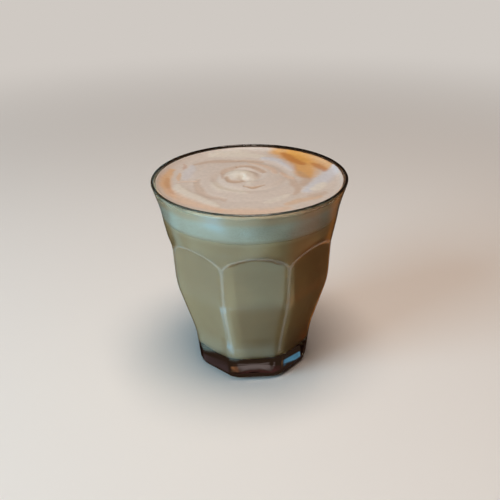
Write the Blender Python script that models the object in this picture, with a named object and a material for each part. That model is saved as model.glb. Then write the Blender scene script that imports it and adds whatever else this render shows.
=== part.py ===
"""A cortado in a pressed glass tumbler.

The tumbler is a body of revolution with a flared rim, into which flat panels with arched tops
are pressed, so that rounded ribs are left standing between them. It stands on a thick clear
foot. Inside it are the milk coffee and, on that, a layer of milk foam whose top is a swirl.

Lengths are in millimetres in the values below and become metres where the meshes are made.
Azimuths are measured from the front, which is -Y, towards the right, which is +X.
"""

import math

import bmesh
import bpy
import numpy as np

MM = 0.001

# Tumbler outside: straight stretches of the round body as (height, radius), joined by soft bends
HEIGHT = 80.0
FOOT_LINE = (0.0, 22.8)
KNEE = (17.0, 24.7)
BULGE = (40.0, 31.5)
PANEL_SHOULDER = (58.0, 32.4)
COLLAR = (62.0, 33.5)
NECK = (70.5, 34.7)
RIM_LINE = (HEIGHT, 37.6)
OUTER_LINE = (FOOT_LINE, KNEE, BULGE, PANEL_SHOULDER, COLLAR, NECK, RIM_LINE)
OUTER_BEND = 4.0
FOOT_FILLET = 3.3

# Pressed panels
PANELS = 8
PANEL_PITCH = math.tau / PANELS
FLAT_OVER_RIB = 0.944
FOOT_FLAT_OVER_RIB = 0.952
RIB_ROUND = 0.45
PANEL_EDGE_SOFTNESS = 0.1
ARCH_TOP = 60.8
ARCH_DROP = 3.6
ARCH_STEP = 1.5
FLAT_HALF_ANGLE = math.radians(20.0)

# Tumbler inside
FLOOR_HEIGHT = 9.0
FLOOR_CORNER = 3.5
INNER_LINE = (
    (FLOOR_HEIGHT, 20.0), (17.0, 21.1), (40.0, 27.4), (60.0, 29.4), (70.5, 31.9), (HEIGHT, 36.5),
)
INNER_BEND = 5.0
LIP_HALF_HEIGHT = 0.6

# Drink
GAP = 0.3
DRINK_LEVEL = 78.0
FOAM_BOTTOM = 66.9
COFFEE_TOP = FOAM_BOTTOM - GAP
SWIRL_CENTRE = (-1.5, 2.5)
SWIRL_PITCH = 10.5
SWIRL_START = 0.05
SWIRL_HEIGHT = 0.8
SWIRL_REACH = 31.0
FOLD_SHARPNESS = 3
CURL_CENTRE = (-3.0, 4.6)
CURL_HEIGHT = 0.7
CURL_RADIUS = 3.4

# Mesh density: rings stand closest where the outline bends
LINE_SAMPLES = 9
FLAT_STATIONS = 7
FOOT_RINGS = 4
PANEL_SPAN = (22.0, 54.0)
PANEL_RINGS = 10
ARCH_SPAN = (55.0, 61.0)
ARCH_RINGS = 6
COLLAR_RINGS = 6
INNER_RINGS = 14
FILLET_TURNS = (0.0, 30.0, 60.0)
LIP_TURNS = (45.0, 90.0, 135.0)
FLOOR_TURNS = (30.0, 60.0, 90.0)
CONTENT_SIDES = 64
COFFEE_RINGS = 10
FOAM_SIDE_RINGS = 3
FOAM_TOP_RINGS = 22
SHARP_EDGE = math.radians(50.0)


def smoothstep(value):
    """Ease from 0 to 1 as the value goes from 0 to 1."""
    clamped = min(max(value, 0.0), 1.0)
    return clamped * clamped * (3.0 - 2.0 * clamped)


def line_radius(height, line, bend):
    """Radius at a height on a line of straight stretches, averaged so that its corners bend softly."""
    heights = [point[0] for point in line]
    radii = [point[1] for point in line]
    low_slope = (radii[1] - radii[0]) / (heights[1] - heights[0])
    high_slope = (radii[-1] - radii[-2]) / (heights[-1] - heights[-2])
    heights = [heights[0] - bend] + heights + [heights[-1] + bend]
    radii = [radii[0] - bend * low_slope] + radii + [radii[-1] + bend * high_slope]
    samples = np.linspace(height - bend, height + bend, LINE_SAMPLES)
    return float(np.mean(np.interp(samples, heights, radii)))


def soft_least(first, second, soft):
    """The lesser of two lengths, rounded over where they are nearly equal."""
    return -soft * float(np.logaddexp(-first / soft, -second / soft))


def outer_radius(height, azimuth):
    """Radius of the tumbler's outside: the round body, less the panels pressed into it."""
    body = line_radius(height, OUTER_LINE, OUTER_BEND)
    across = (azimuth + PANEL_PITCH / 2) % PANEL_PITCH - PANEL_PITCH / 2
    share = smoothstep(height / BULGE[0])
    flat_over_rib = FOOT_FLAT_OVER_RIB + (FLAT_OVER_RIB - FOOT_FLAT_OVER_RIB) * share
    flat = body * flat_over_rib / math.cos(across)
    next_flat = body * flat_over_rib / math.cos(PANEL_PITCH - abs(across))
    rib = soft_least(flat, next_flat, RIB_ROUND)
    pressed = soft_least(body, rib, PANEL_EDGE_SOFTNESS)
    arch = ARCH_TOP - ARCH_DROP * (across / FLAT_HALF_ANGLE) ** 2
    return body + (pressed - body) * smoothstep((arch - height) / ARCH_STEP)


def inner_radius(height):
    """Radius of the tumbler's round inside, with the rounded corner where it meets the floor."""
    wall = line_radius(height, INNER_LINE, INNER_BEND)
    above_floor = min(max(height - FLOOR_HEIGHT, 0.0), FLOOR_CORNER)
    drop = FLOOR_CORNER - above_floor
    return wall - FLOOR_CORNER + math.sqrt(FLOOR_CORNER ** 2 - drop ** 2)


def polar(radius, azimuth, height):
    """A point from its radius, azimuth and height."""
    return (radius * math.sin(azimuth), -radius * math.cos(azimuth), height)


def panel_azimuths():
    """Azimuths round the tumbler: the crest of each rib, then stations across the flat beside it."""
    flat = np.linspace(-FLAT_HALF_ANGLE, FLAT_HALF_ANGLE, FLAT_STATIONS)
    stations = [-PANEL_PITCH / 2] + list(flat)
    return [panel * PANEL_PITCH + station for panel in range(PANELS) for station in stations]


def even_azimuths(count):
    """Evenly spaced azimuths."""
    return [math.tau * index / count for index in range(count)]


def loft(name, rings, start, end, material):
    """Make one closed object from rings of points, closed by a fan to a point at each end."""
    bm = bmesh.new()
    start_vert = bm.verts.new([value * MM for value in start])
    loops = [[bm.verts.new([value * MM for value in point]) for point in ring] for ring in rings]
    end_vert = bm.verts.new([value * MM for value in end])
    count = len(rings[0])
    for index in range(count):
        following = (index + 1) % count
        bm.faces.new((start_vert, loops[0][following], loops[0][index]))
        for near, far in zip(loops, loops[1:]):
            bm.faces.new((near[index], near[following], far[following], far[index]))
        bm.faces.new((loops[-1][index], loops[-1][following], end_vert))
    mesh = bpy.data.meshes.new(name)
    bm.to_mesh(mesh)
    bm.free()
    mesh.shade_smooth()
    mesh.set_sharp_from_angle(angle=SHARP_EDGE)
    mesh.materials.append(material)
    piece = bpy.data.objects.new(name, mesh)
    bpy.context.scene.collection.objects.link(piece)
    return piece


def make_material(name, color, roughness, transmission=0.0, ior=1.45):
    """A Principled material with one colour."""
    material = bpy.data.materials.new(name)
    material.use_nodes = True
    shader = material.node_tree.nodes["Principled BSDF"]
    shader.inputs["Base Color"].default_value = (*color, 1.0)
    shader.inputs["Roughness"].default_value = roughness
    shader.inputs["Metallic"].default_value = 0.0
    shader.inputs["Transmission Weight"].default_value = transmission
    shader.inputs["IOR"].default_value = ior
    return material


def make_glass():
    """The tumbler, as one skin from the middle of its base, over the lip, to the middle of its floor."""
    azimuths = panel_azimuths()
    lip_foot = HEIGHT - LIP_HALF_HEIGHT
    outside = []
    for turn in np.radians(FILLET_TURNS):
        outside.append((FOOT_FILLET * (1.0 - math.cos(turn)), FOOT_FILLET * (1.0 - math.sin(turn))))
    spans = (
        np.linspace(FOOT_FILLET, KNEE[0], FOOT_RINGS),
        np.linspace(*PANEL_SPAN, PANEL_RINGS),
        np.linspace(*ARCH_SPAN, ARCH_RINGS),
        np.linspace(COLLAR[0], lip_foot, COLLAR_RINGS),
    )
    outside += [(height, 0.0) for height in np.concatenate(spans)]
    rings = []
    for height, inset in outside:
        radii = [outer_radius(height, azimuth) - inset for azimuth in azimuths]
        rings.append([polar(radius, azimuth, height) for radius, azimuth in zip(radii, azimuths)])

    lip_outer = outer_radius(lip_foot, 0.0)
    lip_inner = inner_radius(lip_foot)
    lip_middle = (lip_outer + lip_inner) / 2
    lip_half_width = (lip_outer - lip_inner) / 2
    for turn in np.radians(LIP_TURNS):
        radius = lip_middle + lip_half_width * math.cos(turn)
        height = lip_foot + LIP_HALF_HEIGHT * math.sin(turn)
        rings.append([polar(radius, azimuth, height) for azimuth in azimuths])

    wall = np.linspace(lip_foot, FLOOR_HEIGHT + FLOOR_CORNER, INNER_RINGS)
    corner = FLOOR_HEIGHT + FLOOR_CORNER * (1.0 - np.sin(np.radians(FLOOR_TURNS)))
    for height in np.concatenate((wall, corner)):
        rings.append([polar(inner_radius(height), azimuth, height) for azimuth in azimuths])
    clear_glass = make_material("clear_glass", (0.93, 0.96, 0.95), 0.02, transmission=1.0, ior=1.52)
    return loft("glass", rings, (0.0, 0.0, 0.0), (0.0, 0.0, FLOOR_HEIGHT), clear_glass)


def content_ring(height, lift=0.0):
    """A round ring that keeps the gap to the tumbler's inside; lift raises it off the floor's corner."""
    radius = inner_radius(height - lift) - GAP
    return [polar(radius, azimuth, height) for azimuth in even_azimuths(CONTENT_SIDES)]


def make_coffee():
    """The milk coffee: a turned solid that fills the tumbler up to the foam."""
    corner = FLOOR_HEIGHT + FLOOR_CORNER * (1.0 - np.cos(np.radians(FILLET_TURNS)))
    wall = np.linspace(FLOOR_HEIGHT + FLOOR_CORNER + GAP, COFFEE_TOP, COFFEE_RINGS)
    rings = [content_ring(height + GAP, lift=GAP) for height in corner]
    rings += [content_ring(height) for height in wall]
    milk_coffee = make_material("milk_coffee", (0.33, 0.26, 0.18), 0.35)
    bottom = (0.0, 0.0, FLOOR_HEIGHT + GAP)
    return loft("coffee", rings, bottom, (0.0, 0.0, COFFEE_TOP), milk_coffee)


def foam_height(x, y):
    """Height of the foam's top: broad folds parted by a spiral groove, and a curl at their heart."""
    from_centre = (x - SWIRL_CENTRE[0], y - SWIRL_CENTRE[1])
    distance = math.hypot(*from_centre)
    turn = math.atan2(from_centre[1], from_centre[0]) / math.tau
    wave = 0.5 + 0.5 * math.cos(math.tau * (distance / SWIRL_PITCH - turn - SWIRL_START))
    fold = 1.0 - (1.0 - wave) ** FOLD_SHARPNESS
    fade = 1.0 - smoothstep(distance / SWIRL_REACH)
    curl_distance = math.hypot(x - CURL_CENTRE[0], y - CURL_CENTRE[1])
    curl = math.exp(-((curl_distance / CURL_RADIUS) ** 2))
    return DRINK_LEVEL + SWIRL_HEIGHT * fold * fade + CURL_HEIGHT * curl


def make_foam():
    """The milk foam: a turned layer whose top rings close in on the middle of the swirl."""
    rings = [content_ring(height) for height in np.linspace(FOAM_BOTTOM, DRINK_LEVEL, FOAM_SIDE_RINGS)]
    wall = inner_radius(DRINK_LEVEL) - GAP
    for index in range(FOAM_TOP_RINGS - 1, 0, -1):
        share = index / FOAM_TOP_RINGS
        ring = []
        for azimuth in even_azimuths(CONTENT_SIDES):
            x = SWIRL_CENTRE[0] * (1.0 - share) + wall * share * math.sin(azimuth)
            y = SWIRL_CENTRE[1] * (1.0 - share) - wall * share * math.cos(azimuth)
            ring.append((x, y, foam_height(x, y)))
        rings.append(ring)
    middle = (*SWIRL_CENTRE, foam_height(*SWIRL_CENTRE))
    milk_foam = make_material("milk_foam", (0.74, 0.62, 0.52), 0.6)
    return loft("milk_foam", rings, (0.0, 0.0, FOAM_BOTTOM), middle, milk_foam)


def main():
    """Clear the scene and make the tumbler and what is in it."""
    for thing in list(bpy.data.objects):
        bpy.data.objects.remove(thing, do_unlink=True)
    make_glass()
    make_coffee()
    make_foam()


main()
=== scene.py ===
"""Looks of a cortado in a pressed glass tumbler.

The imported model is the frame: a clear tumbler, the milk coffee in it and a layer of milk foam.
This script puts a finely meshed piece in the place of each of the three, dresses them, and adds
a pale floor, soft light and the camera.

Lengths in the classes are millimetres and become metres where a mesh or a lamp is made. Azimuths
are measured from the front, which is -Y, towards the right, which is +X.
"""

import logging
import math
from dataclasses import dataclass, field
from enum import Enum

import bpy
import numpy as np
from mathutils import Matrix, Vector, noise


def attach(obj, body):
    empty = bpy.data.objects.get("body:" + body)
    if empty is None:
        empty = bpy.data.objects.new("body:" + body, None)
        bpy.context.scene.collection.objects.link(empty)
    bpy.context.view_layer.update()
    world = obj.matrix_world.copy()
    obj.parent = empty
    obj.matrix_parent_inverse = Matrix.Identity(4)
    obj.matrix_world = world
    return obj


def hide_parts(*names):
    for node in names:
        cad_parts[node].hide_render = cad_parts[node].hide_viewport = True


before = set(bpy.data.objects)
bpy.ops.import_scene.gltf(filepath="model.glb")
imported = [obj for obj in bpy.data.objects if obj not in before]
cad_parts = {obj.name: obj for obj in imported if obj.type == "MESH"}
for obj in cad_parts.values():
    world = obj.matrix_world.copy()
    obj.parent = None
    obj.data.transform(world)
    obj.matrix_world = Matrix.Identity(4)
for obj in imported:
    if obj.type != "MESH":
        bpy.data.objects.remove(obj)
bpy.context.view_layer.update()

MM = 0.001
BODY = "root"

Tree = bpy.types.NodeTree
Socket = bpy.types.NodeSocket
Colour = tuple[float, float, float, float]
Place = tuple[float, float]
Point = tuple[float, float, float]

log = logging.getLogger("cortado")


class Slot(Enum):
    """Material slots."""

    CLEAR_GLASS = "clear_glass"
    MILK_COFFEE = "milk_coffee"
    MILK_FOAM = "milk_foam"


class Pour(Enum):
    """What a stroke of the pour leaves on the foam's top; the value is its attribute's name."""

    MILK = "pour_milk"
    COOL_MILK = "pour_cool_milk"
    BLUSH = "pour_blush"
    TAN = "pour_tan"
    AMBER = "pour_amber"
    RUST = "pour_rust"


def linear(hex_colour: str) -> Colour:
    """Turn an sRGB hex colour into the linear RGBA that the shaders take.

    The numbers are those of the sRGB standard.

    Args:
        hex_colour: Six hex digits after a hash sign.

    Returns:
        Red, green, blue and an alpha of 1.
    """
    levels = [int(hex_colour[place:place + 2], 16) / 255.0 for place in (1, 3, 5)]
    lit = [level / 12.92 if level <= 0.04045 else ((level + 0.055) / 1.055) ** 2.4
           for level in levels]
    return (*lit, 1.0)


def add_node(tree: Tree, kind: str, sockets: dict | None = None, **settings) -> bpy.types.Node:
    """Add a node with its settings and links.

    Args:
        tree: The node tree that it goes into.
        kind: The node's type.
        sockets: A value, or another node's output to link, for each input's name or number.
        **settings: The node's own properties.

    Returns:
        The new node.
    """
    node = tree.nodes.new(kind)
    for name, value in settings.items():
        setattr(node, name, value)
    for name, value in (sockets or {}).items():
        if isinstance(value, bpy.types.NodeSocket):
            tree.links.new(value, node.inputs[name])
        else:
            node.inputs[name].default_value = value
    return node


def object_place(tree: Tree) -> Socket:
    """The place on the object, in metres."""
    return add_node(tree, "ShaderNodeTexCoord").outputs["Object"]


def texture(tree: Tree, kind: str, place: Socket, size: float, **sockets) -> bpy.types.Node:
    """Add a texture whose grains are about as large as a size in millimetres."""
    return add_node(tree, kind, {"Vector": place, "Scale": 1.0 / (size * MM), **sockets})


def eased(tree: Tree, value: Socket, start: float, end: float, top: float = 1.0) -> Socket:
    """Ease from 0 to a top as a value goes from a start to an end, which may be the lesser."""
    return add_node(tree, "ShaderNodeMapRange", {
        "Value": value,
        "From Min": start,
        "From Max": end,
        "To Max": top,
    }, interpolation_type="SMOOTHSTEP").outputs["Result"]


def eased_by_height(tree: Tree, place: Socket, start: float, end: float,
                    top: float = 1.0) -> Socket:
    """Ease from 0 to a top between two heights, which are in millimetres."""
    height = add_node(tree, "ShaderNodeSeparateXYZ", {0: place}).outputs["Z"]
    return eased(tree, height, start * MM, end * MM, top)


def blend(tree: Tree, share: Socket | float, first: Socket | Colour, second: Socket | Colour,
          **settings) -> Socket:
    """Blend two colours by the second one's share."""
    mix = add_node(tree, "ShaderNodeMix", {0: share, 6: first, 7: second}, data_type="RGBA",
                   **settings)
    return mix.outputs[2]


def length(tree: Tree, vector: Socket) -> Socket:
    """The length of a vector."""
    measure = add_node(tree, "ShaderNodeVectorMath", {0: vector}, operation="LENGTH")
    return measure.outputs["Value"]


def bumped(tree: Tree, height: Socket, depth: float, strength: float = 1.0) -> Socket:
    """The normal of a relief whose height of 1 stands for a depth in millimetres."""
    sockets = {"Height": height, "Distance": depth * MM, "Strength": strength}
    return add_node(tree, "ShaderNodeBump", sockets).outputs["Normal"]


def add_principled(tree: Tree, sockets: dict) -> None:
    """End a material's tree in a Principled shader with these inputs."""
    shader = add_node(tree, "ShaderNodeBsdfPrincipled", sockets)
    add_node(tree, "ShaderNodeOutputMaterial", {"Surface": shader.outputs["BSDF"]})


def empty_material(name: str) -> bpy.types.Material:
    """Make a material whose node tree holds nothing yet.

    Args:
        name: The material's name.

    Returns:
        The material.
    """
    material = bpy.data.materials.new(name)
    material.use_nodes = True
    material.node_tree.nodes.clear()
    return material


def into_scene(thing: bpy.types.Object) -> bpy.types.Object:
    """Link an object to the scene and hand it back."""
    bpy.context.scene.collection.objects.link(thing)
    return thing


def direction(azimuth: float, elevation: float) -> Vector:
    """The unit vector towards an azimuth and an elevation in degrees."""
    turn, rise = math.radians(azimuth), math.radians(elevation)
    return Vector((math.sin(turn) * math.cos(rise), -math.cos(turn) * math.cos(rise),
                   math.sin(rise)))


def smoothstep(value: np.ndarray) -> np.ndarray:
    """Ease from 0 to 1 as the value goes from 0 to 1."""
    clamped = np.clip(value, 0.0, 1.0)
    return clamped * clamped * (3.0 - 2.0 * clamped)


def soft_least(first: np.ndarray, second: np.ndarray, softness: float) -> np.ndarray:
    """The lesser of two numbers, rounded off where they come close to each other."""
    return -softness * np.logaddexp(-first / softness, -second / softness)


@dataclass(frozen=True)
class TumblerForm:
    """The tumbler's shape: a round body, the panels pressed into it, and its round inside."""

    height: float = 80.0
    outer_line: tuple[Place, ...] = (
        (0.0, 22.8), (17.0, 24.7), (40.0, 31.5), (58.0, 32.4), (62.0, 33.5), (70.5, 34.7),
        (80.0, 37.6),
    )
    outer_bend: float = 4.0
    foot_fillet: float = 3.3
    panels: int = 8
    bulge_height: float = 40.0
    flat_over_rib: float = 0.944
    foot_flat_over_rib: float = 0.952
    rib_round: float = 0.45
    panel_edge_softness: float = 0.1
    arch_top: float = 60.8
    arch_drop: float = 3.6
    arch_step: float = 1.5
    flat_half_angle: float = math.radians(20.0)
    floor_height: float = 9.0
    floor_corner: float = 3.5
    inner_line: tuple[Place, ...] = (
        (9.0, 20.0), (17.0, 21.1), (40.0, 27.4), (60.0, 29.4), (70.5, 31.9), (80.0, 36.5),
    )
    inner_bend: float = 5.0
    lip_half_height: float = 0.6
    arch_corner: float = 1.1
    line_samples: int = 41

    @property
    def pitch(self) -> float:
        """The angle from one rib to the next."""
        return math.tau / self.panels

    @property
    def lip_foot(self) -> float:
        """The height at which the rounded lip begins."""
        return self.height - self.lip_half_height

    def bent_line(self, height: np.ndarray, line: tuple[Place, ...], bend: float) -> np.ndarray:
        """Read a line of straight stretches whose corners bend softly.

        Args:
            height: Heights.
            line: Corners as (height, radius).
            bend: Half the height over which the line is averaged.

        Returns:
            The radius at each height.
        """
        heights, radii = np.array(line).T
        slopes = np.diff(radii) / np.diff(heights)
        below, above = radii[0] - bend * slopes[0], radii[-1] + bend * slopes[-1]
        heights = np.concatenate(([heights[0] - bend], heights, [heights[-1] + bend]))
        radii = np.concatenate(([below], radii, [above]))
        samples = np.linspace(-bend, bend, self.line_samples)
        return np.interp(np.asarray(height)[..., None] + samples, heights, radii).mean(axis=-1)

    def outside(self, height: np.ndarray, azimuth: np.ndarray) -> np.ndarray:
        """Radius of the outside: the round body, less the panels pressed into it.

        Args:
            height: Heights.
            azimuth: Azimuths, which broadcast against the heights.

        Returns:
            The radii.
        """
        body = self.bent_line(height, self.outer_line, self.outer_bend)
        across = self.across(azimuth)
        ratio = self.flat_ratio(height)
        flat = body * ratio / np.cos(across)
        next_flat = body * ratio / np.cos(self.pitch - np.abs(across))
        rib = soft_least(flat, next_flat, self.rib_round)
        pressed = soft_least(body, rib, self.panel_edge_softness)
        return body + (pressed - body) * smoothstep((self.arch(across) - height) / self.arch_step)

    def across(self, azimuth: np.ndarray) -> np.ndarray:
        """The angle from the middle of the nearest panel."""
        return (azimuth + self.pitch / 2) % self.pitch - self.pitch / 2

    def flat_ratio(self, height: np.ndarray) -> np.ndarray:
        """A flat's least radius over the round body's radius."""
        share = smoothstep(height / self.bulge_height)
        return self.foot_flat_over_rib + (self.flat_over_rib - self.foot_flat_over_rib) * share

    def arch(self, across: np.ndarray) -> np.ndarray:
        """Height of a panel's arched top."""
        return self.arch_top - self.arch_drop * (across / self.flat_half_angle) ** 2

    def into_panel(self, height: np.ndarray, azimuth: np.ndarray) -> np.ndarray:
        """How far a place on the outside lies inside the nearest panel.

        Args:
            height: Heights.
            azimuth: Azimuths, which broadcast against the heights.

        Returns:
            The distances from the panel's ribs and arch, which are negative outside the panels.
        """
        across = self.across(azimuth)
        from_side = (self.pitch / 2 - np.abs(across)) * self.outside(height, azimuth)
        return soft_least(from_side, self.arch(across) - height, self.arch_corner)

    def inside(self, height: np.ndarray) -> np.ndarray:
        """Radius of the round inside, with the rounded corner where it meets the floor.

        Args:
            height: Heights.

        Returns:
            The radii.
        """
        wall = self.bent_line(height, self.inner_line, self.inner_bend)
        above_floor = np.clip(height - self.floor_height, 0.0, self.floor_corner)
        drop = self.floor_corner - above_floor
        return wall - self.floor_corner + np.sqrt(self.floor_corner ** 2 - drop ** 2)


def polar_rings(radius: np.ndarray, azimuth: np.ndarray, height: np.ndarray) -> np.ndarray:
    """Place points by radius, azimuth and height.

    Args:
        radius: Radii, one row for each ring.
        azimuth: The azimuths of a ring's points.
        height: Heights, one for each ring or each point.

    Returns:
        Points, as rings by azimuths by three.
    """
    radius, azimuth, height = np.broadcast_arrays(radius, azimuth, height)
    return np.stack([radius * np.sin(azimuth), -radius * np.cos(azimuth), height], axis=-1)


def loft(name: str, rings: np.ndarray, start: Point, end: Point) -> bpy.types.Object:
    """Make a closed, smooth piece from rings of points, closed by a fan to a point at each end.

    Args:
        name: The piece's name.
        rings: Points in millimetres, as rings by azimuths by three.
        start: The point that closes the first ring.
        end: The point that closes the last ring.

    Returns:
        The piece, linked to the scene.
    """
    rows, columns = rings.shape[:2]
    points = np.concatenate([np.array([start]), rings.reshape(-1, 3), np.array([end])]) * MM
    index = 1 + np.arange(rows * columns).reshape(rows, columns)
    following = np.roll(index, -1, axis=1)
    quads = np.stack([index[:-1], following[:-1], following[1:], index[1:]], axis=-1)
    last = len(points) - 1
    faces = [(0, far, near) for near, far in zip(index[0].tolist(), following[0].tolist())]
    faces += quads.reshape(-1, 4).tolist()
    faces += [(near, far, last) for near, far in zip(index[-1].tolist(), following[-1].tolist())]
    mesh = bpy.data.meshes.new(name)
    mesh.from_pydata(points.tolist(), [], faces)
    mesh.shade_smooth()
    return into_scene(bpy.data.objects.new(name, mesh))


def set_attribute(piece: bpy.types.Object, name: str, values: np.ndarray) -> None:
    """Give a piece's vertices a number each, under a name that its material reads."""
    attribute = piece.data.attributes.new(name, "FLOAT", "POINT")
    attribute.data.foreach_set("value", values.astype(np.float32))


def level_board(name: str, half_width: float, half_depth: float, height: float,
                material: bpy.types.Material) -> bpy.types.Object:
    """Make a level rectangle.

    Args:
        name: The rectangle's name.
        half_width: Half its size from left to right.
        half_depth: Half its size from front to back.
        height: The height that it lies at.
        material: Its material.

    Returns:
        The rectangle, linked to the scene.
    """
    corners = [(side * half_width * MM, end * half_depth * MM, height * MM)
               for side, end in ((-1, -1), (1, -1), (1, 1), (-1, 1))]
    mesh = bpy.data.meshes.new(name)
    mesh.from_pydata(corners, [], [(0, 1, 2, 3)])
    mesh.materials.append(material)
    return into_scene(bpy.data.objects.new(name, mesh))


@dataclass(frozen=True)
class PressedGlass:
    """Soda-lime glass, pressed in a mould and fire-polished.

    The eye gets a clear wall with a skin so smooth that it reflects sharply, faintly wavy because
    the mould's chill leaves the surface a little uneven, and a trace of green in the thick foot.
    The lip's round edge is painted slate grey, a painted shade for the dark room that it
    reflects and refracts, and the raised edges of the panels are faintly hazed into painted
    highlight lines.
    """

    tint: str = "#F6FAF8"
    lip_painted_shade: str = "#59626A"
    lip_from: float = 79.3
    lip_to: float = 79.7
    haze: float = 0.18
    edge_highlight: str = "edge_highlight_haze"
    ior: float = 1.52
    roughness: float = 0.0
    ripple_size: float = 9.0
    ripple_detail: float = 1.0
    ripple_depth: float = 0.012

    def material(self) -> bpy.types.Material:
        """Make the material.

        Returns:
            The glass.
        """
        material = empty_material("pressed_soda_lime_glass")
        tree = material.node_tree
        place = object_place(tree)
        ripple = texture(tree, "ShaderNodeTexNoise", place, self.ripple_size,
                         Detail=self.ripple_detail)
        # painted shade: over the lip the glass turns slate grey, for the dark room it reflects and
        # refracts
        near_lip = eased_by_height(tree, place, self.lip_from, self.lip_to)
        # painted highlight: the glass is hazed along the panels' edges, so that the lamps light it
        # into pale lines
        edge_highlight = add_node(tree, "ShaderNodeAttribute", attribute_name=self.edge_highlight)
        clear = add_node(tree, "ShaderNodeMapRange", {
            "Value": edge_highlight.outputs["Fac"],
            "To Min": 1.0,
            "To Max": 1.0 - self.haze,
        })
        add_principled(tree, {
            "Base Color": blend(tree, near_lip, linear(self.tint), linear(self.lip_painted_shade)),
            "Roughness": self.roughness,
            "IOR": self.ior,
            "Transmission Weight": clear.outputs["Result"],
            "Normal": bumped(tree, ripple.outputs["Fac"], self.ripple_depth),
        })
        return material


@dataclass(frozen=True)
class MilkCoffee:
    """Espresso and steamed milk, seen where it wets the glass.

    It is an opaque tan without gloss of its own, because the glass in front of it has nearly its
    refractive index. Slow clouds of milk show in it, it pales just below the foam, and its
    underside is painted dark, a painted shade for the light that does not get under a glass that
    stands on a table.
    """

    body: str = "#B58E66"
    cloud: str = "#C39D75"
    below_foam: str = "#CBAE8C"
    painted_underside_shade: str = "#33261E"
    ior: float = 1.13
    roughness: float = 0.4
    cloud_size: float = 14.0
    cloud_detail: float = 3.0
    cloud_distortion: float = 0.6
    foam_line: float = 66.9
    paling: float = 2.2
    paling_share: float = 0.8
    underside_from: float = 10.1
    underside_full: float = 9.3

    def material(self) -> bpy.types.Material:
        """Make the material.

        Returns:
            The milk coffee.
        """
        material = empty_material("steamed_milk_coffee")
        tree = material.node_tree
        place = object_place(tree)
        clouds = texture(tree, "ShaderNodeTexNoise", place, self.cloud_size,
                         Detail=self.cloud_detail, Distortion=self.cloud_distortion)
        near_foam = eased_by_height(tree, place, self.foam_line - self.paling, self.foam_line,
                                    self.paling_share)
        # painted shade: the coffee turns dark towards its underside, near the glass's floor
        near_foot = eased_by_height(tree, place, self.underside_from, self.underside_full)
        colour = blend(tree, clouds.outputs["Fac"], linear(self.body), linear(self.cloud))
        colour = blend(tree, near_foam, colour, linear(self.below_foam))
        add_principled(tree, {
            "Base Color": blend(tree, near_foot, colour, linear(self.painted_underside_shade)),
            "Roughness": self.roughness,
            "IOR": self.ior,
        })
        return material


@dataclass(frozen=True)
class FoamAtGlass:
    """Steamed milk foam, seen where it wets the glass.

    The eye gets a matt off-white band in which the larger bubbles just show as specks. Its lower
    edge takes up the coffee's tan, and its upper part that of the crema, which rises along the
    glass. Real bubbles are a tenth of a millimetre, too fine to show, so they are drawn at about
    half a millimetre.
    """

    white: str = "#D4CCC2"
    speck: str = "#BEB2A0"
    stained: str = "#BFA384"
    crema: str = "#CBAA88"
    ior: float = 1.13
    roughness: float = 0.45
    bubble_size: float = 0.55
    speck_edge: float = 0.55
    speck_core: float = 0.15
    speck_share: float = 0.7
    foam_line: float = 66.9
    staining: float = 1.8
    stain_share: float = 0.75
    crema_from: float = 73.4
    crema_full: float = 76.4
    crema_share: float = 0.8

    def material(self) -> bpy.types.Material:
        """Make the material.

        Returns:
            The foam's side.
        """
        material = empty_material("milk_foam_at_glass")
        tree = material.node_tree
        place = object_place(tree)
        bubbles = texture(tree, "ShaderNodeTexVoronoi", place, self.bubble_size)
        specks = eased(tree, bubbles.outputs["Distance"], self.speck_edge, self.speck_core,
                       self.speck_share)
        low = eased_by_height(tree, place, self.foam_line + self.staining, self.foam_line,
                              self.stain_share)
        high = eased_by_height(tree, place, self.crema_from, self.crema_full, self.crema_share)
        colour = blend(tree, specks, linear(self.white), linear(self.speck))
        colour = blend(tree, high, colour, linear(self.crema))
        add_principled(tree, {
            "Base Color": blend(tree, low, colour, linear(self.stained)),
            "Roughness": self.roughness,
            "IOR": self.ior,
        })
        return material


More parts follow.
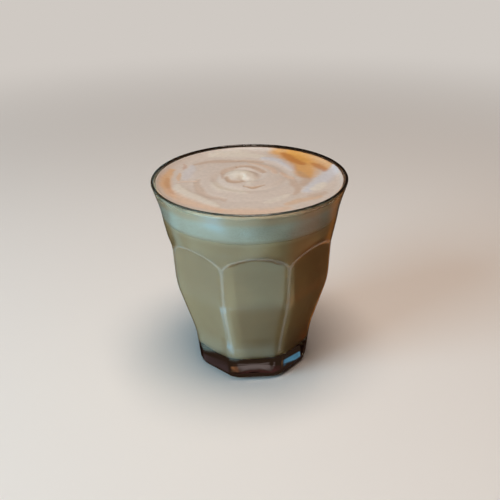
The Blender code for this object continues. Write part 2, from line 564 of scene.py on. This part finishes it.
@dataclass(frozen=True)
class PouredFoam:
    """Steamed milk foam poured through crema, as the drink's top.

    The eye gets a soft beige with whiter folds, tan grooves and amber crema, a wet sheen, and
    pinholes of burst bubbles. The real ones are a tenth of a millimetre, too fine to show, so
    they are drawn at about a third of a millimetre.
    """

    foam: str = "#CEC2B8"
    colours: tuple[tuple[Pour, str], ...] = (
        (Pour.BLUSH, "#D8BCA4"),
        (Pour.TAN, "#B99A80"),
        (Pour.AMBER, "#D79A3C"),
        (Pour.RUST, "#B06A2C"),
        (Pour.MILK, "#DCD5C8"),
        (Pour.COOL_MILK, "#CBCBD0"),
    )
    ior: float = 1.34
    roughness: float = 0.42
    pinhole_size: float = 0.34
    pinhole_core: float = 0.1
    pinhole_edge: float = 0.4
    pinhole_depth: float = 0.03
    pinhole_strength: float = 0.6
    mottle_size: float = 1.6
    mottle_detail: float = 4.0
    mottle_from: float = 0.3
    mottle_to: float = 0.7
    mottle_dark: float = 0.94
    mottle_light: float = 1.05

    def material(self) -> bpy.types.Material:
        """Make the material.

        Returns:
            The foam's top.
        """
        material = empty_material("poured_milk_foam")
        tree = material.node_tree
        place = object_place(tree)
        colour = linear(self.foam)
        for pour, shade in self.colours:
            mask = add_node(tree, "ShaderNodeAttribute", attribute_name=pour.value)
            colour = blend(tree, mask.outputs["Fac"], colour, linear(shade))
        mottle = texture(tree, "ShaderNodeTexNoise", place, self.mottle_size,
                         Detail=self.mottle_detail)
        lightness = add_node(tree, "ShaderNodeMapRange", {
            "Value": mottle.outputs["Fac"],
            "From Min": self.mottle_from,
            "From Max": self.mottle_to,
            "To Min": self.mottle_dark,
            "To Max": self.mottle_light,
        })
        pinholes = texture(tree, "ShaderNodeTexVoronoi", place, self.pinhole_size)
        level = eased(tree, pinholes.outputs["Distance"], self.pinhole_core, self.pinhole_edge)
        add_principled(tree, {
            "Base Color": blend(tree, 1.0, colour, lightness.outputs["Result"],
                                blend_type="MULTIPLY"),
            "Roughness": self.roughness,
            "IOR": self.ior,
            "Normal": bumped(tree, level, self.pinhole_depth, self.pinhole_strength),
        })
        return material


@dataclass(frozen=True)
class PaintedBoard:
    """A board painted matt white, as the floor.

    The eye gets an even pale ground, which turns into the backdrop's tone in the distance.
    """

    colour: str = "#EDEAE6"
    backdrop: str = "#CFC9C3"
    roughness: float = 0.7
    grain_size: float = 3.0
    grain_depth: float = 0.01
    grain_strength: float = 0.3
    fade_from: float = 200.0
    fade_to: float = 650.0

    def material(self) -> bpy.types.Material:
        """Make the material.

        Returns:
            The floor's paint.
        """
        material = empty_material("matt_white_paint")
        tree = material.node_tree
        place = object_place(tree)
        grain = texture(tree, "ShaderNodeTexNoise", place, self.grain_size)
        paint = add_node(tree, "ShaderNodeBsdfPrincipled", {
            "Base Color": linear(self.colour),
            "Roughness": self.roughness,
            "Normal": bumped(tree, grain.outputs["Fac"], self.grain_depth, self.grain_strength),
        })
        backdrop = add_node(tree, "ShaderNodeEmission", {"Color": linear(self.backdrop)})
        shader = add_node(tree, "ShaderNodeMixShader", {
            0: eased(tree, length(tree, place), self.fade_from * MM, self.fade_to * MM),
            1: paint.outputs["BSDF"],
            2: backdrop.outputs[0],
        })
        add_node(tree, "ShaderNodeOutputMaterial", {"Surface": shader.outputs[0]})
        return material


def settle(piece: bpy.types.Object, slot: Slot, *nodes: str) -> None:
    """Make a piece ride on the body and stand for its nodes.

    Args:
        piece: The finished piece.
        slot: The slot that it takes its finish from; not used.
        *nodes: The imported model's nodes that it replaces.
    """
    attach(piece, BODY)
    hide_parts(*nodes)
    log.info("%s: %d faces, for %s", piece.name, len(piece.data.polygons), ", ".join(nodes))


@dataclass
class Tumbler:
    """The pressed glass tumbler."""

    form: TumblerForm
    finish: PressedGlass = field(default_factory=PressedGlass)
    stations: int = 44
    trial_stations: int = 2001
    edge_angle: float = math.radians(21.5)
    edge_width: float = math.radians(3.0)
    edge_crowding: float = 3.0
    ring_step: float = 0.8
    fine_step: float = 0.3
    fine_from: float = 54.0
    fine_to: float = 62.5
    collar_rings: int = 22
    fillet_rings: int = 10
    lip_rings: int = 14
    highlight_width: float = 0.6
    highlight_from: float = 11.0
    highlight_full: float = 17.0

    def azimuths(self) -> np.ndarray:
        """Azimuths round the tumbler, closest together where a flat meets its rib.

        Returns:
            The azimuths.
        """
        pitch = self.form.pitch
        trial = np.linspace(-pitch / 2, pitch / 2, self.trial_stations)
        edge = np.exp(-((np.abs(trial) - self.edge_angle) / self.edge_width) ** 2)
        density = np.cumsum(1.0 + self.edge_crowding * edge)
        share = (density - density[0]) / (density[-1] - density[0])
        panel = np.interp(np.arange(self.stations) / self.stations, share, trial)
        return np.concatenate([panel + turn * pitch for turn in range(self.form.panels)])

    def outer_rings(self, azimuths: np.ndarray) -> list[np.ndarray]:
        """The outside, from the foot's flat to the lip.

        Args:
            azimuths: The azimuths of a ring's points.

        Returns:
            One array of points for each ring.
        """
        form = self.form
        fillet = form.foot_fillet
        foot = [(fillet * (1.0 - math.cos(turn)), fillet * (1.0 - math.sin(turn)))
                for turn in np.linspace(0.0, math.pi / 2, self.fillet_rings)]
        below = np.arange(fillet + self.ring_step, self.fine_from, self.ring_step)
        arches = np.arange(self.fine_from, self.fine_to, self.fine_step)
        above = np.linspace(self.fine_to, form.lip_foot, self.collar_rings)
        sides = [(height, 0.0) for height in np.concatenate([below, arches, above])]
        return [polar_rings(form.outside(np.array(height), azimuths) - inset, azimuths, height)
                for height, inset in foot + sides]

    def lip_and_inner_rings(self, azimuths: np.ndarray) -> list[np.ndarray]:
        """The rounded lip and the inside, down to the floor.

        Args:
            azimuths: The azimuths of a ring's points.

        Returns:
            One array of points for each ring.
        """
        form = self.form
        outer = float(form.outside(np.array(form.lip_foot), np.array(0.0)))
        inner = float(form.inside(np.array(form.lip_foot)))
        middle, half_width = (outer + inner) / 2, (outer - inner) / 2
        lip = [(form.lip_foot + form.lip_half_height * math.sin(turn),
                middle + half_width * math.cos(turn))
               for turn in np.linspace(0.0, math.pi, self.lip_rings + 2)[1:-1]]
        corner_top = form.floor_height + form.floor_corner
        wall = np.arange(form.lip_foot, corner_top, -self.ring_step)
        turns = np.linspace(0.0, math.pi / 2, self.fillet_rings)
        heights = np.concatenate([wall, corner_top - form.floor_corner * np.sin(turns)])
        inside = list(zip(heights.tolist(), form.inside(heights).tolist()))
        return [polar_rings(np.array(radius), azimuths, height) for height, radius in lip + inside]

    def edge_highlight(self, heights: np.ndarray, azimuths: np.ndarray) -> np.ndarray:
        """How much painted highlight each point of the outer rings takes: most where a panel meets
        a rib or its arch.

        Args:
            heights: The rings' heights.
            azimuths: The azimuths of a ring's points.

        Returns:
            Shares from 0 to 1, as rings by azimuths.
        """
        into_panel = self.form.into_panel(heights[:, None], azimuths[None, :])
        above_foot = smoothstep((heights - self.highlight_from) / (self.highlight_full - self.highlight_from))
        return np.exp(-(into_panel / self.highlight_width) ** 2) * above_foot[:, None]

    def build(self) -> bpy.types.Object:
        """Make the tumbler as one closed skin.

        Returns:
            The piece.
        """
        azimuths = self.azimuths()
        outer = self.outer_rings(azimuths)
        rings = np.stack(outer + self.lip_and_inner_rings(azimuths))
        piece = loft("tumbler_glass", rings, (0.0, 0.0, 0.0), (0.0, 0.0, self.form.floor_height))
        # painted highlight lines along the ribs and arches, kept on the outer rings' vertices
        highlit = self.edge_highlight(np.stack(outer)[:, 0, 2], azimuths)
        values = np.zeros(len(piece.data.vertices))
        values[1:1 + highlit.size] = highlit.ravel()
        set_attribute(piece, self.finish.edge_highlight, values)
        piece.data.materials.append(self.finish.material())
        settle(piece, Slot.CLEAR_GLASS, "glass")
        return piece


@dataclass
class CoffeeBody:
    """The milk coffee that fills the tumbler up to the foam. It reaches just into the wall."""

    form: TumblerForm
    finish: MilkCoffee = field(default_factory=MilkCoffee)
    top: float = 66.9
    reach: float = 0.1
    sides: int = 256
    ring_step: float = 1.0
    corner_rings: int = 10

    def build(self) -> bpy.types.Object:
        """Make the coffee.

        Returns:
            The piece.
        """
        form = self.form
        depth = self.top - form.floor_height
        turns = np.linspace(0.0, math.pi / 2, self.corner_rings)
        corner = form.floor_corner * (1.0 - np.cos(turns))
        wall = np.arange(form.floor_corner + self.ring_step, depth, self.ring_step)
        heights = form.floor_height + np.concatenate([corner, wall, [depth + self.reach]])
        radii = form.inside(heights) + self.reach
        azimuths = np.arange(self.sides) * math.tau / self.sides
        rings = polar_rings(radii[:, None], azimuths[None, :], (heights - self.reach)[:, None])
        floor = (0.0, 0.0, form.floor_height - self.reach)
        piece = loft("coffee_body", rings, floor, (0.0, 0.0, self.top))
        piece.data.materials.append(self.finish.material())
        settle(piece, Slot.MILK_COFFEE, "coffee")
        return piece


@dataclass(frozen=True)
class Stroke:
    """One stroke of the pour: a bent band on the foam's top, seen from above."""

    pour: Pour
    start: Place
    bend: Place
    end: Place
    width: float
    strength: float = 1.0
    lift: float = 0.0
    steps: int = 28
    tip_width: float = 0.35
    tip_inset: float = 0.12
    fade_end: float = 2.0
    fade_width: float = 1.5

    def mask(self, points: np.ndarray) -> np.ndarray:
        """How much of the stroke each point of the foam takes.

        Args:
            points: Points in plan, as count by two.

        Returns:
            A share from 0 to the stroke's strength for each point.
        """
        along = np.linspace(0.0, 1.0, self.steps)
        start, bend, end = (np.array(place) for place in (self.start, self.bend, self.end))
        middle = 2.0 * bend - 0.5 * (start + end)
        run = ((1 - along) ** 2)[:, None] * start + (2 * along * (1 - along))[:, None] * middle
        run = run + (along ** 2)[:, None] * end
        swell = np.sin(math.pi * (self.tip_inset + (1.0 - 2.0 * self.tip_inset) * along))
        half = 0.5 * self.width * (self.tip_width + (1.0 - self.tip_width) * swell)
        nearest = np.full(len(points), np.inf)
        for place, reach in zip(run, half):
            away = np.hypot(points[:, 0] - place[0], points[:, 1] - place[1]) / reach
            nearest = np.minimum(nearest, away)
        return self.strength * smoothstep((self.fade_end - nearest) / self.fade_width)


# Each stroke's kind, start, bend, end, width, strength and lift, laid one over the other.
POUR_STROKES = (
    Stroke(Pour.MILK, (-13.6, 29.6), (-4.0, 29.8), (7.0, 26.0), 5.5, 0.7, 0.15),
    Stroke(Pour.TAN, (-21.0, 19.5), (-9.0, 22.0), (6.0, 20.0), 2.6, 0.55, -0.1),
    Stroke(Pour.COOL_MILK, (8.0, 23.6), (14.2, 18.6), (17.8, 9.0), 4.2, 0.9, 0.2),
    Stroke(Pour.AMBER, (14.0, 30.5), (21.0, 21.0), (22.5, 3.0), 9.0, 0.75, -0.1),
    Stroke(Pour.AMBER, (20.0, 28.0), (28.5, 19.0), (32.0, 10.0), 8.0, 0.6),
    Stroke(Pour.RUST, (15.5, 28.5), (19.5, 21.5), (22.0, 15.5), 3.6, 0.65),
    Stroke(Pour.RUST, (26.5, 15.0), (29.0, 11.0), (29.6, 7.0), 3.2, 0.6),
    Stroke(Pour.TAN, (20.5, 6.0), (21.8, -1.0), (19.5, -7.0), 3.6, 0.5),
    Stroke(Pour.TAN, (15.0, 1.0), (16.8, -8.0), (15.6, -15.5), 2.4, 0.45),
    Stroke(Pour.BLUSH, (12.0, 6.0), (14.4, 3.2), (16.2, -1.0), 1.8, 0.6, 0.1),
    Stroke(Pour.COOL_MILK, (34.5, 9.5), (28.6, -1.0), (20.0, -13.0), 5.0, 0.9, 0.2),
    Stroke(Pour.MILK, (27.5, -6.0), (25.5, -9.0), (22.5, -12.0), 3.4, 0.8),
    Stroke(Pour.TAN, (-4.0, 14.4), (2.0, 13.0), (6.6, 6.8), 1.9, 0.7, -0.25),
    Stroke(Pour.BLUSH, (0.6, 17.8), (7.2, 12.6), (9.8, 5.4), 2.2, 0.6, 0.1),
    Stroke(Pour.TAN, (-9.8, 2.0), (-8.6, 10.0), (-4.0, 14.2), 1.8, 0.5, -0.15),
    Stroke(Pour.MILK, (-4.4, 9.4), (-3.6, 5.0), (-3.0, 1.4), 6.0, 0.85, 0.2),
    Stroke(Pour.MILK, (-1.4, 8.0), (0.6, 1.0), (-0.4, -5.6), 3.0, 0.5, 0.1),
    Stroke(Pour.TAN, (-8.2, 2.2), (-6.2, -2.6), (-2.2, -1.8), 2.2, 0.7, -0.25),
    Stroke(Pour.TAN, (-2.6, -7.5), (1.2, -8.3), (5.4, -7.1), 0.9, 0.9, -0.3),
    Stroke(Pour.MILK, (-13.8, -2.4), (-9.8, -9.0), (-2.0, -12.8), 4.0, 0.6, 0.15),
    Stroke(Pour.TAN, (-20.0, 2.0), (-18.4, -9.0), (-10.4, -18.6), 2.4, 0.4, -0.2),
    Stroke(Pour.MILK, (-27.4, -2.0), (-23.8, -10.6), (-13.0, -22.6), 3.4, 0.6, 0.2),
    Stroke(Pour.BLUSH, (-27.6, 0.0), (-24.8, 0.6), (-20.4, 0.4), 1.0, 0.5, -0.1),
    Stroke(Pour.COOL_MILK, (-22.4, 17.6), (-23.2, 10.4), (-24.2, 3.6), 3.8, 0.55, 0.1),
    Stroke(Pour.RUST, (-26.0, 20.0), (-25.6, 17.0), (-25.8, 14.2), 1.3, 0.3),
    Stroke(Pour.AMBER, (-27.0, 10.0), (-27.4, 6.0), (-26.8, 2.0), 1.4, 0.35),
    Stroke(Pour.AMBER, (-30.0, 14.0), (-32.4, 1.0), (-28.6, -13.0), 3.4, 0.5),
    Stroke(Pour.BLUSH, (-30.6, -6.0), (-23.4, -18.8), (-11.0, -27.4), 4.0, 0.8),
    Stroke(Pour.RUST, (-31.6, 5.0), (-31.4, -2.0), (-28.6, -10.6), 1.8, 0.3),
    Stroke(Pour.BLUSH, (-12.0, -28.2), (0.0, -30.4), (11.0, -28.0), 5.0, 0.7),
    Stroke(Pour.AMBER, (11.6, -24.4), (17.0, -22.0), (24.0, -18.2), 2.6, 0.3),
    Stroke(Pour.MILK, (4.8, -22.0), (9.4, -19.6), (13.0, -15.6), 2.6, 0.5, 0.1),
    Stroke(Pour.TAN, (26.4, -14.6), (24.0, -16.6), (20.6, -17.6), 2.4, 0.4),
)


@dataclass
class FoamLayer:
    """The layer of milk foam: its side against the glass and its poured, swirled top."""

    form: TumblerForm
    side_finish: FoamAtGlass = field(default_factory=FoamAtGlass)
    top_finish: PouredFoam = field(default_factory=PouredFoam)
    strokes: tuple[Stroke, ...] = POUR_STROKES
    bottom: float = 66.9
    level: float = 78.0
    reach: float = 0.12
    sides: int = 400
    side_step: float = 0.7
    top_rings: int = 96
    swirl_centre: Place = (-1.5, 2.5)
    swirl_pitch: float = 10.5
    swirl_start: float = 0.05
    swirl_height: float = 0.8
    swirl_reach: float = 31.0
    fold_sharpness: float = 3.0
    curl_centre: Place = (-3.0, 4.6)
    curl_height: float = 0.7
    curl_radius: float = 3.4
    climb: float = 1.2
    climb_width: float = 1.1
    drift: float = 1.1
    drift_size: float = 7.0
    fray: float = 0.45
    fray_size: float = 1.8
    drift_seed: int = 7
    least_share: float = 1e-6

    def drifted(self, points: np.ndarray) -> np.ndarray:
        """Shift points in plan the way the milk drifts, so that no stroke has a ruled edge.

        Args:
            points: Points in plan, as count by two.

        Returns:
            The shifted points.
        """
        moved = points.copy()
        noise.seed_set(self.drift_seed)
        for amount, size in ((self.drift, self.drift_size), (self.fray, self.fray_size)):
            shift = [noise.noise_vector(Vector((x / size, y / size, size)))[:2] for x, y in points]
            moved += amount * np.array(shift)
        return moved

    def relief(self, points: np.ndarray) -> np.ndarray:
        """Height of the foam's top: broad folds parted by a spiral groove, with a curl within.

        Args:
            points: Points in plan, as count by two.

        Returns:
            The heights.
        """
        away = points - np.array(self.swirl_centre)
        distance = np.hypot(away[:, 0], away[:, 1])
        turn = np.arctan2(away[:, 1], away[:, 0]) / math.tau
        phase = distance / self.swirl_pitch - turn - self.swirl_start
        wave = 0.5 + 0.5 * np.cos(math.tau * phase)
        fold = 1.0 - (1.0 - wave) ** self.fold_sharpness
        fade = 1.0 - smoothstep(distance / self.swirl_reach)
        from_curl = points - np.array(self.curl_centre)
        curl = np.exp(-(from_curl ** 2).sum(axis=1) / self.curl_radius ** 2)
        wall = float(self.form.inside(np.array(self.level)))
        from_wall = np.clip(wall - np.hypot(points[:, 0], points[:, 1]), 0.0, None)
        meniscus = self.climb * np.exp(-from_wall / self.climb_width)
        return self.level + self.swirl_height * fold * fade + self.curl_height * curl + meniscus

    def paint(self, piece: bpy.types.Object, points: np.ndarray) -> np.ndarray:
        """Lay the strokes on the mesh, one over the other, as an attribute for each kind of pour.

        Args:
            piece: The foam's piece.
            points: Its vertices in plan, as count by two.

        Returns:
            How far each vertex is lifted by the strokes.
        """
        drifted = self.drifted(points)
        shares = {pour: np.zeros(len(points)) for pour in Pour}
        lift = np.zeros(len(points))
        for stroke in self.strokes:
            mask = stroke.mask(drifted)
            for pour in Pour:
                shares[pour] *= 1.0 - mask
            shares[stroke.pour] += mask
            lift += stroke.lift * mask / stroke.strength
        above = np.zeros(len(points))
        for pour, _ in reversed(self.top_finish.colours):
            factor = shares[pour] / np.maximum(1.0 - above, self.least_share)
            above += shares[pour]
            set_attribute(piece, pour.value, np.clip(factor, 0.0, 1.0))
        return lift

    def side_points(self, azimuths: np.ndarray) -> np.ndarray:
        """Rings of points up the side, from the coffee to the foam's level.

        Args:
            azimuths: The azimuths of a ring's points.

        Returns:
            Points, as rings by azimuths by three.
        """
        start = self.bottom - self.reach / 2
        heights = np.append(np.arange(start, self.level, self.side_step), self.level)
        radii = self.form.inside(heights) + self.reach
        return polar_rings(radii[:, None], azimuths[None, :], heights[:, None])

    def top_points(self, azimuths: np.ndarray) -> np.ndarray:
        """Rings of points over the top, still level, from the wall to the swirl's centre.

        Args:
            azimuths: The azimuths of a ring's points.

        Returns:
            Points, as rings by azimuths by three.
        """
        wall = float(self.form.inside(np.array(self.level))) + self.reach
        share = np.linspace(1.0, 0.0, self.top_rings, endpoint=False)[1:, None]
        centre = np.array(self.swirl_centre)
        return np.stack([
            centre[0] * (1.0 - share) + wall * share * np.sin(azimuths),
            centre[1] * (1.0 - share) - wall * share * np.cos(azimuths),
            np.full((len(share), self.sides), self.level),
        ], axis=-1)

    def build(self) -> bpy.types.Object:
        """Make the foam layer.

        Returns:
            The piece.
        """
        azimuths = np.arange(self.sides) * math.tau / self.sides
        side = self.side_points(azimuths)
        rings = np.concatenate([side, self.top_points(azimuths)])
        centre = (*self.swirl_centre, self.level)
        piece = loft("foam_layer", rings, (0.0, 0.0, self.bottom), centre)
        mesh = piece.data
        places = np.empty(len(mesh.vertices) * 3)
        mesh.vertices.foreach_get("co", places)
        places = places.reshape(-1, 3) / MM
        raised = self.relief(places[:, :2]) + self.paint(piece, places[:, :2])
        first_top = 1 + (len(side) - 1) * self.sides
        places[first_top:, 2] = raised[first_top:]
        mesh.vertices.foreach_set("co", (places * MM).ravel())
        mesh.materials.append(self.side_finish.material())
        mesh.materials.append(self.top_finish.material())
        slots = np.zeros(len(mesh.polygons), dtype=np.int32)
        slots[len(side) * self.sides:] = 1
        mesh.polygons.foreach_set("material_index", slots)
        mesh.update()
        settle(piece, Slot.MILK_FOAM, "milk_foam")
        return piece


@dataclass(frozen=True)
class SoftBox:
    """A soft lamp beside the drink, turned towards it."""

    name: str
    azimuth: float
    elevation: float
    distance: float
    width: float
    height: float
    colour: str
    power: float
    mirrored: bool = True
    aim: float = 45.0

    def build(self) -> bpy.types.Object:
        """Make the lamp.

        Returns:
            The light.
        """
        away = direction(self.azimuth, self.elevation)
        data = bpy.data.lights.new(self.name, "AREA")
        data.shape = "RECTANGLE"
        data.size = self.width * MM
        data.size_y = self.height * MM
        data.energy = self.power
        data.color = linear(self.colour)[:3]
        light = into_scene(bpy.data.objects.new(self.name, data))
        light.visible_glossy = self.mirrored
        light.location = away * (self.distance * MM) + Vector((0.0, 0.0, self.aim * MM))
        light.rotation_euler = away.to_track_quat("Z", "Y").to_euler()
        return light


@dataclass(frozen=True)
class Glow:
    """A soft patch of light in the room round the drink, by the angles that the drink sees it at.

    The core is the share of the patch that is fully lit.
    """

    azimuth: float
    elevation: float
    half_width: float
    half_height: float
    colour: str
    strength: float
    core: float

    def add_to(self, tree: Tree, ray: Socket, light: Socket | Point) -> Socket:
        """Add the patch to the room's light.

        Args:
            tree: The world's node tree.
            ray: The direction looked in.
            light: The light so far.

        Returns:
            The light with the patch.
        """
        wide = 1.0 / math.sin(math.radians(self.half_width))
        high = 1.0 / math.sin(math.radians(self.half_height))
        ahead, across, up = (
            add_node(tree, "ShaderNodeVectorMath", {0: ray, 1: axis},
                     operation="DOT_PRODUCT").outputs["Value"]
            for axis in (
                direction(self.azimuth, self.elevation),
                direction(self.azimuth + 90.0, 0.0) * wide,
                direction(self.azimuth, self.elevation + 90.0) * high,
            )
        )
        off_centre = add_node(tree, "ShaderNodeCombineXYZ", {"X": across, "Y": up})
        distance = length(tree, off_centre.outputs[0])
        share = eased(tree, distance, 1.0, self.core, self.strength)
        in_front = add_node(tree, "ShaderNodeMath", {0: ahead, 1: 0.0}, operation="GREATER_THAN")
        lit = add_node(tree, "ShaderNodeMath", {0: share, 1: in_front.outputs[0]},
                       operation="MULTIPLY")
        patch = add_node(tree, "ShaderNodeVectorMath", {
            0: linear(self.colour)[:3],
            "Scale": lit.outputs[0],
        }, operation="SCALE")
        return add_node(tree, "ShaderNodeVectorMath", {0: light, 1: patch.outputs[0]},
                        operation="ADD").outputs[0]


@dataclass(frozen=True)
class Card:
    """A soft-edged card laid under the foot, which shows in the glass and not by itself. It glows
    a fixed dark colour whatever the lamps do, a painted dark reflection in the foot.
    """

    name: str
    centre: Place
    half_width: float
    half_depth: float
    colour: str
    core: float
    height: float = -0.05

    def material(self) -> bpy.types.Material:
        """Make the card's glow, which fades out towards its edge.

        Returns:
            The material.
        """
        material = empty_material(self.name)
        tree = material.node_tree
        size = (1.0 / (self.half_width * MM), 1.0 / (self.half_depth * MM), 0.0)
        scaled = add_node(tree, "ShaderNodeVectorMath", {0: object_place(tree), 1: size},
                          operation="MULTIPLY")
        distance = length(tree, scaled.outputs[0])
        clear = add_node(tree, "ShaderNodeBsdfTransparent")
        glow = add_node(tree, "ShaderNodeEmission", {"Color": linear(self.colour)})
        shader = add_node(tree, "ShaderNodeMixShader", {
            0: eased(tree, distance, 1.0, self.core),
            1: clear.outputs[0],
            2: glow.outputs[0],
        })
        add_node(tree, "ShaderNodeOutputMaterial", {"Surface": shader.outputs[0]})
        return material

    def build(self) -> bpy.types.Object:
        """Make the card.

        Returns:
            The card.
        """
        card = level_board(self.name, self.half_width, self.half_depth, self.height,
                           self.material())
        card.location = (self.centre[0] * MM, self.centre[1] * MM, 0.0)
        card.visible_camera = False
        card.visible_diffuse = False
        card.visible_shadow = False
        return card


@dataclass
class Studio:
    """The pale floor, the soft light round the drink and the camera.

    The numbers of a lamp or a glow are, in order, those of its class.
    """

    floor: PaintedBoard = field(default_factory=PaintedBoard)
    floor_half_size: float = 3000.0
    air_under_foot: float = 0.1
    lamps: tuple[SoftBox, ...] = (
        SoftBox("window", -62.0, 22.0, 800.0, 400.0, 620.0, "#C6ECFF", 5.5, False),
        SoftBox("ceiling", 20.0, 84.0, 800.0, 420.0, 420.0, "#FFEBDC", 5.0),
    )
    glows: tuple[Glow, ...] = (
        Glow(-45.0, -45.0, 85.0, 38.0, "#B8DEDC", 2.2, 0.5),
        Glow(-125.0, -52.0, 26.0, 24.0, "#A8C0B0", 1.1, 0.0),
        Glow(-66.0, -55.0, 23.0, 8.0, "#78C8F8", 3.8, 0.0),
        Glow(-10.0, -54.0, 13.0, 5.0, "#90C8E8", 1.3, 0.0),
        Glow(-125.0, -34.0, 14.0, 14.0, "#90C0C8", 1.2, 0.1),
        Glow(20.0, -40.0, 50.0, 18.0, "#B8C8A8", 1.3, 0.0),
        Glow(50.0, -53.0, 22.0, 7.0, "#B0C4B8", 1.2, 0.0),
        Glow(80.0, -44.0, 30.0, 12.0, "#D06020", 0.8, 0.3),
        Glow(140.0, -40.0, 17.0, 28.0, "#D07828", 0.8, 0.0),
        Glow(134.0, -47.0, 6.0, 12.0, "#D08850", 1.6, 0.1),
        Glow(95.0, -20.0, 50.0, 40.0, "#C06A20", 0.32, 0.3),
        Glow(130.0, 30.0, 20.0, 9.0, "#6A5A66", 0.25, 0.2),
        Glow(166.0, 33.0, 10.0, 3.2, "#A87050", 0.28, 0.1),
        Glow(160.0, 33.0, 3.5, 1.4, "#C08050", 0.25, 0.0),
        Glow(178.0, 34.8, 11.0, 2.6, "#A09090", 0.33, 0.1),
        Glow(-176.0, 31.5, 18.0, 2.6, "#803848", 0.14, 0.1),
        Glow(-155.0, 34.0, 5.0, 4.0, "#A87850", 0.25, 0.0),
        Glow(-142.0, 33.5, 7.0, 3.4, "#60B0D8", 0.62, 0.0),
    )
    # painted dark reflection: a fixed dark brown glow under the foot, standing in for the shaded
    # table and underside that the foot shows
    card: Card = Card("painted_dark_reflection", (2.0, 0.0), 34.5, 36.0, "#2E1C17", 0.92)
    surroundings: str = "#2A1E16"
    camera_distance: float = 251.7
    camera_height: float = 176.44
    camera_pitch: float = 27.03
    camera_yaw: float = 0.069
    camera_roll: float = -1.106
    front_panel_turn: float = -3.0
    lens: float = 50.67
    near_clip: float = 10.0

    def build_floor(self) -> bpy.types.Object:
        """Make the floor.

        Returns:
            The floor.
        """
        half = self.floor_half_size
        board = level_board("pale_floor", half, half, -self.air_under_foot, self.floor.material())
        board.visible_transmission = False
        board.visible_glossy = False
        return board

    def build_surroundings(self) -> bpy.types.World:
        """Make the dim room round the drink.

        Returns:
            The world.
        """
        world = bpy.data.worlds.new("dim_room")
        bpy.context.scene.world = world
        world.use_nodes = True
        tree = world.node_tree
        tree.nodes.clear()
        ray = add_node(tree, "ShaderNodeTexCoord").outputs["Generated"]
        light = linear(self.surroundings)[:3]
        for glow in self.glows:
            light = glow.add_to(tree, ray, light)
        seen_directly = add_node(tree, "ShaderNodeLightPath").outputs["Is Camera Ray"]
        shader = add_node(tree, "ShaderNodeBackground", {
            "Color": blend(tree, seen_directly, light, linear(self.floor.backdrop)),
        })
        add_node(tree, "ShaderNodeOutputWorld", {"Surface": shader.outputs["Background"]})
        return world

    def build_camera(self) -> bpy.types.Object:
        """Make the camera at the photograph's viewing angle.

        Returns:
            The camera.
        """
        data = bpy.data.cameras.new("camera")
        data.lens = self.lens
        data.clip_start = self.near_clip * MM
        camera = into_scene(bpy.data.objects.new("camera", data))
        front = Matrix.Rotation(math.radians(self.front_panel_turn), 4, "Z")
        place = Matrix.Translation((0.0, -self.camera_distance * MM, self.camera_height * MM))
        yaw = Matrix.Rotation(math.radians(self.camera_yaw), 4, "Z")
        pitch = Matrix.Rotation(math.radians(90.0 - self.camera_pitch), 4, "X")
        roll = Matrix.Rotation(math.radians(self.camera_roll), 4, "Z")
        camera.matrix_world = front @ place @ yaw @ pitch @ roll
        bpy.context.scene.camera = camera
        return camera

    def build(self) -> None:
        """Make all of the studio."""
        self.build_floor()
        self.build_surroundings()
        for lamp in self.lamps:
            lamp.build()
        self.card.build()
        self.build_camera()
        bpy.context.scene.view_settings.view_transform = "Standard"
        bpy.context.scene.cycles.blur_glossy = 0.0
        log.info("studio: %d lamps, %d glows", len(self.lamps), len(self.glows))


def main() -> None:
    """Build the drink and the studio."""
    logging.basicConfig(level=logging.INFO, format="%(message)s")
    form = TumblerForm()
    Tumbler(form).build()
    CoffeeBody(form).build()
    FoamLayer(form).build()
    Studio().build()


if __name__ == "__main__":
    main()
